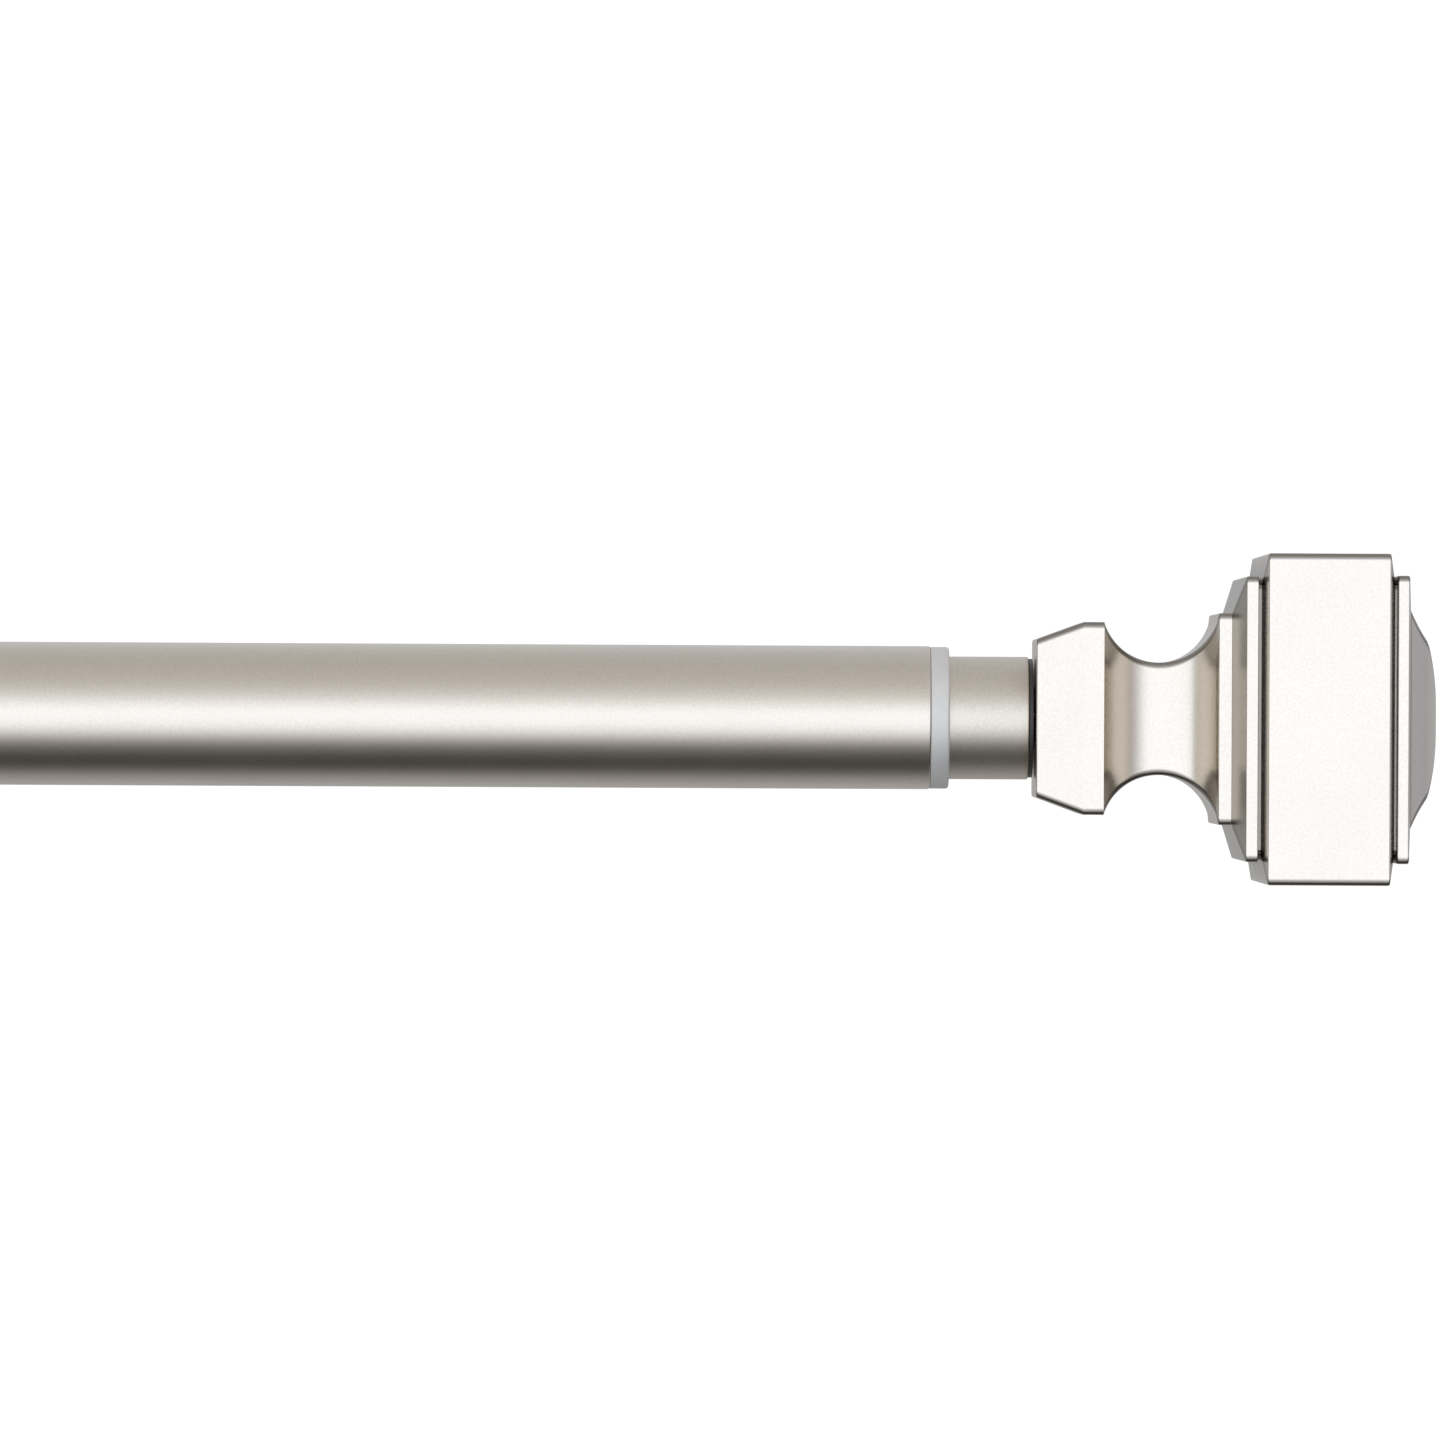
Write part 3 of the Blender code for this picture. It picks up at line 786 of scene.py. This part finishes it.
def add_screw(node, turn, head, pitch, point, socket):
    """A countersunk screw with a cross recess of that reach, drawn from its tip."""
    start, length, _ = extent(node, turn)
    head_r, height = head
    neck, neck_start, neck_end = SCREW_NECK
    rim, slope = SCREW_RIM
    wide, narrow = CROSS_HALF
    shallow, deep = CROSS_DEPTH
    stations = thread(length - height - SCREW_RUNOUT, SCREW_R, pitch, point)
    stations += [
        (length - height - neck, circle(SCREW_R * neck_start)),
        (length - height, circle(SCREW_R * neck_end)),
        (length - rim, circle(head_r)),
        (length, circle(head_r - slope)),
        (length, cross(socket, wide)),
        (length - shallow * height, cross(CROSS_TAPER * socket, narrow)),
        (length - deep * height, [(0, 0)]),
    ]
    stand_for(add(f"{node}_steel", loft(stations), zinc_thread, start, turn), node)


def add_wall_plate(side):
    node = f"wall_plate_{side}"
    start, thickness, half = extent(node, TO_ROOM)
    corners = [(0, 0), (0, half, 0.3), (thickness, half, 0.4), (thickness, 0)]
    mesh = squared(fillet(corners, 3), PLATE_CORNER)
    plate = add(f"{node}_steel", mesh, zinc_sheet, start, TO_ROOM)
    head_r, height = WALL_SCREW_HEAD
    hole = SCREW_R + GAP
    profile = [
        (-OVERRUN, 0),
        (-OVERRUN, hole),
        (thickness - height, hole),
        (thickness, head_r + GAP),
        (thickness + OVERRUN, head_r + GAP),
        (thickness + OVERRUN, 0),
    ]
    for level, up in (("top", 1), ("bottom", -1)):
        place = start + Vector((0, 0, up * WALL_SCREW_OFFSET * MM))
        drill(plate, turned(profile, HOLE_SIDES), place, TO_ROOM)
        screw = (WALL_SCREW_HEAD, WALL_SCREW_PITCH, WALL_SCREW_POINT, WALL_SCREW_CROSS)
        add_screw(f"wall_screw_{side}_{level}", TO_ROOM, *screw)
    flatten(plate)
    stand_for(plate, node)


def cover_profile(half, end):
    """The cover's section: a recess at the wall, then block, plate, cove, collar and through hole."""
    depth, recess = COVER_RECESS
    plate_start, plate_end, plate_half = COVER_PLATE
    cove_end, cove_half = COVER_COVE
    shoulder_end = COVER_BLOCK + SHOULDER
    corners = [
        (GAP, recess, 0.2),
        (GAP, half, EDGE),
        (COVER_BLOCK, half, EDGE),
        (shoulder_end, SHOULDER_HALF),
        (shoulder_end, GROOVE_HALF),
        (plate_start - NUDGE, GROOVE_HALF),
        (plate_start, plate_half, EDGE),
        (plate_end, plate_half, EDGE),
    ]
    top = plate_half - COVE_LEDGE
    for i in range(COVE_STEPS + 1):
        turn = math.pi / 2 * i / COVE_STEPS
        x = plate_end + (cove_end - plate_end) * (1 - math.cos(turn))
        corners.append((x, top - (top - cove_half) * math.sin(turn)))
    corners += [
        (cove_end, COVER_COLLAR_HALF, EDGE),
        (end, COVER_COLLAR_HALF, EDGE),
        (end, COVER_COLLAR_HALF - FLAT_EDGE),
        (end, COVER_HOLE + FLAT_EDGE),
        (end, COVER_HOLE, 0.2),
        (depth, COVER_HOLE),
        (depth, recess),
    ]
    return fillet(corners, 3, closed=True)


def add_cover(side):
    node = f"bracket_cover_{side}"
    start, length, half = extent(node, TO_ROOM)
    wall = wall_point(side)
    # painted shade in the groove behind the cover's plate, at full darkness
    recess = (COVER_BLOCK + 0.5 * SHOULDER, COVER_PLATE[0], 1.0)
    mesh = squared(cover_profile(half, length + GAP), closed=True, recesses=[recess])
    cover = add(f"{node}_casting", mesh, nickel_cast, wall, TO_ROOM, CAST_ANGLE)
    place = wall + Vector((0, -SET_SCREW_PLACE * MM, 0))
    screw = f"cover_set_screw_{side}"
    screw_start, screw_length, radius = extent(screw, DOWN)
    drill(cover, pin(COVER_HOLE - OVERRUN, COVER_COLLAR_HALF + OVERRUN, radius + GAP), place, DOWN)
    flatten(cover)
    stand_for(cover, node)

    stations = thread(screw_length, radius, SET_SCREW_PITCH)
    stations += [
        (screw_length, hexagon(SET_SCREW_KEY)),
        (screw_length / 2, hexagon(SET_SCREW_KEY)),
        (screw_length / 2, [(0, 0)]),
    ]
    stand_for(add(f"{screw}_steel", loft(stations), zinc_thread, screw_start, DOWN), screw)


def square_tube(node, start, length, half):
    """A square tube with round corners, and a small roll on each lip."""
    bore = half - SHEET_WALL
    corners = [(x, y, SHEET_LIP) for x, y in ((0, half), (length, half), (length, bore), (0, bore))]
    mesh = squared(fillet(corners, 3, closed=True), TUBE_CORNER, closed=True)
    return add(f"{node}_steel", mesh, nickel_bar, start, TO_ROOM)


def side_hole(half):
    """A cutter for a screw's hole in one side of a square tube."""
    return pin(half - SHEET_WALL - OVERRUN / 2, half + OVERRUN, SCREW_R + GAP)


def add_thumb_screw(name, turn):
    """A threaded stud and its knurled knob, whose end is dished."""
    start, length, thread_r = extent(f"{name}_stud", turn)
    mesh = loft(thread(length, thread_r, MACHINE_PITCH))
    stand_for(add(f"{name}_thread", mesh, zinc_thread, start, turn), f"{name}_stud")
    start, length, radius = extent(f"{name}_knob", turn)
    bore = thread_r + GAP
    # Each point has its place along the axis, its radius and the depth of its flutes
    profile = [
        (KNOB_BORE, 0, 0),
        (KNOB_BORE, bore, 0),
        (GAP, bore, 0),
        (0, bore + GAP, 0),
        (0, KNOB_NECK - 0.2, 0),
        (0.2, KNOB_NECK, 0),
        (1.0, KNOB_NECK, 0),
        (1.3, radius - 0.8, 0),
        (1.9, radius, KNURL),
        (length - 0.9, radius, KNURL),
        (length - 0.3, radius - 0.6, 0),
        (length, radius - 0.9, 0),
        (length, radius - 1.4, 0),
        (length - 0.3, radius - 1.8, 0),
        (length - 0.35, 0, 0),
    ]
    stations = [(x, fluted(r, depth, KNOB_TEETH) if r else [(0, 0)]) for x, r, depth in profile]
    knob = add(f"{name}_knurled_knob", loft(stations), nickel_knob, start, turn, KNOB_ANGLE)
    stand_for(knob, f"{name}_knob")


def add_arm(side):
    """The sleeve on the wall plate and the square arm that slides in it, with its cap."""
    wall = wall_point(side)
    node = f"arm_sleeve_{side}"
    start, length, half = extent(node, TO_ROOM)
    sleeve = square_tube(node, start, length, half)
    place = wall + Vector((0, -LOCK_PLACE * MM, 0))
    drill(sleeve, side_hole(half), place, DOWN)
    flatten(sleeve)
    stand_for(sleeve, node)
    add_thumb_screw(f"arm_lock_{side}", DOWN)

    node = f"arm_tube_{side}"
    start, length, half = extent(node, TO_ROOM)
    arm = square_tube(node, start, length, half)
    place = Vector((wall.x, ROD.y, wall.z))
    drill(arm, side_hole(half), place, UP)
    flatten(arm)
    stand_for(arm, node)

    node = f"arm_end_cap_{side}"
    start, length, half = extent(node, TO_ROOM)
    spigot = half - SHEET_WALL - GAP
    face = length - SHEET_WALL
    slope, drop = ARM_CAP_EDGE
    corners = [
        (0, 0),
        (0, spigot, 0.4),
        (face, spigot),
        (face, half, 0.1),
        (length - slope, half, 0.4),
        (length, half - drop, 0.6),
        (length, half - ARM_CAP_FLAT),
        (length, 0),
    ]
    cap = add(f"{node}_casting", squared(fillet(corners, 4), TUBE_CORNER), nickel_knob, start, TO_ROOM)
    flatten(cap)
    stand_for(cap, node)


def cradle_outline(bore):
    """The cradle across the rod, around the rod's axis: a saddle open at the top, on a flat foot."""
    outer = bore + CRADLE_WALL
    knee = CRADLE_FOOT - CRADLE_CORNER
    corners = [
        (-outer, CRADLE_TIP, CRADLE_TIP_EDGE),
        (-outer, -knee, CRADLE_KNEE_EDGE),
        (-outer + CRADLE_CORNER, -CRADLE_FOOT, CRADLE_FOOT_EDGE),
        (outer - CRADLE_CORNER, -CRADLE_FOOT, CRADLE_FOOT_EDGE),
        (outer, -knee, CRADLE_KNEE_EDGE),
        (outer, CRADLE_TIP, CRADLE_TIP_EDGE),
        (bore, CRADLE_TIP, CRADLE_TIP_EDGE),
    ]
    corners += arc((0, 0), bore, 0, -180, CRADLE_STEPS)
    corners.append((-bore, CRADLE_TIP, CRADLE_TIP_EDGE))
    return fillet(corners, 5, closed=True)


def add_cradle(side):
    node = f"cradle_{side}"
    low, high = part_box(node)
    width = (high.x - low.x) / MM
    bore = OUTER_R + GAP
    outline = cradle_outline(bore)
    stations = []
    for x, smaller in CRADLE_SIDES:
        stations.append((x - width / 2, inset(outline, smaller)))
    stations += [(-x, points) for x, points in reversed(stations)]
    place = Vector(((low.x + high.x) / 2, ROD.y, ROD.z))
    cradle = add(f"{node}_casting", loft(stations), nickel_cast, place, TO_RIGHT)
    clear = SCREW_R + GAP
    drill(cradle, pin(bore - OVERRUN, bore + CRADLE_WALL + OVERRUN, clear), place, TO_ROOM)
    head_r, height = CRADLE_SCREW_HEAD
    top = -bore - GAP
    profile = [
        (-CRADLE_FOOT - OVERRUN, 0),
        (-CRADLE_FOOT - OVERRUN, clear),
        (top - height - GAP, clear),
        (top - GAP, head_r + GAP),
        (-bore / 2, head_r + GAP),
        (-bore / 2, 0),
    ]
    drill(cradle, turned(profile, HOLE_SIDES), place, UP)
    flatten(cradle)
    stand_for(cradle, node)
    screw = (CRADLE_SCREW_HEAD, MACHINE_PITCH, MACHINE_POINT, CRADLE_SCREW_CROSS)
    add_screw(f"cradle_screw_{side}", UP, *screw)
    add_thumb_screw(f"rod_clamp_{side}", TO_ROOM)


add_tube("outer_tube", outer_start, outer_length, OUTER_R, nickel_tube)
add_tube("inner_tube", inner_start, inner_length, INNER_R, nickel_inner)
add_ring()
add_glide()
for side in ("left", "right"):
    add_finial(side)
    add_insert(side)
    add_stud(side)
    add_plug(side)
    add_wall_plate(side)
    add_cover(side)
    add_arm(side)
    add_cradle(side)


# Camera, light and floor


def add_camera():
    data = bpy.data.cameras.new("camera")
    data.sensor_width = SENSOR
    data.lens = FOCAL_PIXELS / PHOTO_FRAME * SENSOR
    camera = bpy.data.objects.new("camera", data)
    place = FACE["right"] - Vector((CAMERA_LEFT_OF_FINIAL, CAMERA_DISTANCE, CAMERA_BELOW_ROD))
    look = Matrix.Rotation(math.pi / 2, 4, "X") @ Matrix.Rotation(CAMERA_ROLL, 4, "Z")
    camera.matrix_world = Matrix.Translation(place) @ look
    bpy.context.scene.collection.objects.link(camera)
    bpy.context.scene.camera = camera


def ramp(nodes, links, value, stops):
    """A colour that runs through the stops (place from 0 to 1, colour)."""
    made = nodes.new("ShaderNodeValToRGB")
    elements = made.color_ramp.elements
    elements.remove(elements[-1])
    for i, (place, colour) in enumerate(stops):
        element = elements[0] if i == 0 else elements.new(place)
        element.position = place
        element.color = (*colour, 1)
    links.new(value, made.inputs["Fac"])
    return made.outputs["Color"]


def calculate(nodes, links, operation, *values):
    made = nodes.new("ShaderNodeMath")
    made.operation = operation
    for socket, value in zip(made.inputs, values):
        if isinstance(value, (int, float)):
            socket.default_value = value
        else:
            links.new(value, socket)
    return made.outputs[0]


def grey(level):
    return (level, level, level)


# The studio around the rod: angle up from the front in degrees, brightness and coolness
STUDIO = [
    (-180, 0.52, 0.2),
    (-140, 0.56, 0.2),
    (-115, 0.41, 0.1),
    (-100, 0.17, 0),
    (-86, 0.07, 0),
    (-72, 0.09, 0),
    (-60, 0.17, 0),
    (-48, 0.30, 0.1),
    (-32, 1.02, 0.4),
    (-18, 1.64, 1),
    (8, 1.80, 1),
    (22, 1.32, 0.7),
    (35, 0.98, 0.3),
    (55, 0.78, 0),
    (90, 0.68, 0),
    (120, 0.72, 0.3),
    (150, 0.80, 0.6),
    (180, 0.52, 0.2),
]
STUDIO_PEAK = 2.5
COOL = (0.0, 0.08, 0.20)  # what full coolness adds to red, green and blue
# How far the bands of the studio reach to the sides, from the left (0) to the right (1)
STUDIO_SIDES = [(0.0, 0.0), (0.03, 0.0), (0.055, 1.0), (0.73, 1.0), (0.93, 0.0), (1.0, 0.0)]
LEFT_END = (0.25, 0.25, 0.25)
RIGHT_END = (0.24, 0.25, 0.29)
UNDER_END = (0.03, 0.03, 0.03)
WHITE = 1.05


def add_studio():
    """A light tent: bright in front, mid grey above and dark below, and white to the camera."""
    world = bpy.data.worlds.new("studio")
    bpy.context.scene.world = world
    world.use_nodes = True
    nodes, links = world.node_tree.nodes, world.node_tree.links
    nodes.clear()
    place = nodes.new("ShaderNodeTexCoord")
    split = nodes.new("ShaderNodeSeparateXYZ")
    links.new(place.outputs["Generated"], split.inputs[0])
    x, y, z = split.outputs

    front = calculate(nodes, links, "MULTIPLY", y, -1.0)
    angle = calculate(nodes, links, "ARCTAN2", z, front)
    turn = calculate(nodes, links, "MULTIPLY_ADD", angle, 1 / (2 * math.pi), 0.5)
    stops = []
    for degrees, level, cool in STUDIO:
        colour = tuple(level / STUDIO_PEAK * (1 + part * cool) for part in COOL)
        stops.append((degrees / 360 + 0.5, colour))
    bands = ramp(nodes, links, turn, stops)
    across = calculate(nodes, links, "MULTIPLY_ADD", x, 0.5, 0.5)
    weight = ramp(nodes, links, across, [(at, grey(level)) for at, level in STUDIO_SIDES])
    ends = mix_colours(nodes, links, across, LEFT_END, RIGHT_END)
    ends = mix_colours(nodes, links, remap(nodes, links, z, 0, 1, -0.5, 0.0), UNDER_END, ends)
    studio = nodes.new("ShaderNodeBackground")
    studio.inputs["Strength"].default_value = STUDIO_PEAK
    links.new(mix_colours(nodes, links, weight, ends, bands), studio.inputs["Color"])
    white = nodes.new("ShaderNodeBackground")
    white.inputs["Color"].default_value = (1, 1, 1, 1)
    white.inputs["Strength"].default_value = WHITE
    path = nodes.new("ShaderNodeLightPath")
    choose = nodes.new("ShaderNodeMixShader")
    links.new(path.outputs["Is Camera Ray"], choose.inputs[0])
    links.new(studio.outputs[0], choose.inputs[1])
    links.new(white.outputs[0], choose.inputs[2])
    out = nodes.new("ShaderNodeOutputWorld")
    links.new(choose.outputs[0], out.inputs["Surface"])


def add_floor():
    """A white floor that is far enough below to take no sharp shadow."""
    mesh = bmesh.new()
    bmesh.ops.create_grid(mesh, x_segments=1, y_segments=1, size=FLOOR_HALF)
    data = bpy.data.meshes.new("floor")
    mesh.to_mesh(data)
    mesh.free()
    floor = bpy.data.objects.new("floor", data)
    floor.location = (0, 0, cad_box[0][2] - FLOOR_DROP)
    made = bpy.data.materials.new("white_floor")
    made.use_nodes = True
    nodes, links = made.node_tree.nodes, made.node_tree.links
    nodes.clear()
    glow = nodes.new("ShaderNodeEmission")
    glow.inputs["Strength"].default_value = WHITE
    out = nodes.new("ShaderNodeOutputMaterial")
    links.new(glow.outputs[0], out.inputs["Surface"])
    data.materials.append(made)
    floor.visible_glossy = False
    floor.visible_diffuse = False
    floor.visible_transmission = False
    bpy.context.scene.collection.objects.link(floor)


add_camera()
add_studio()
add_floor()
bpy.context.scene.view_settings.view_transform = "Standard"
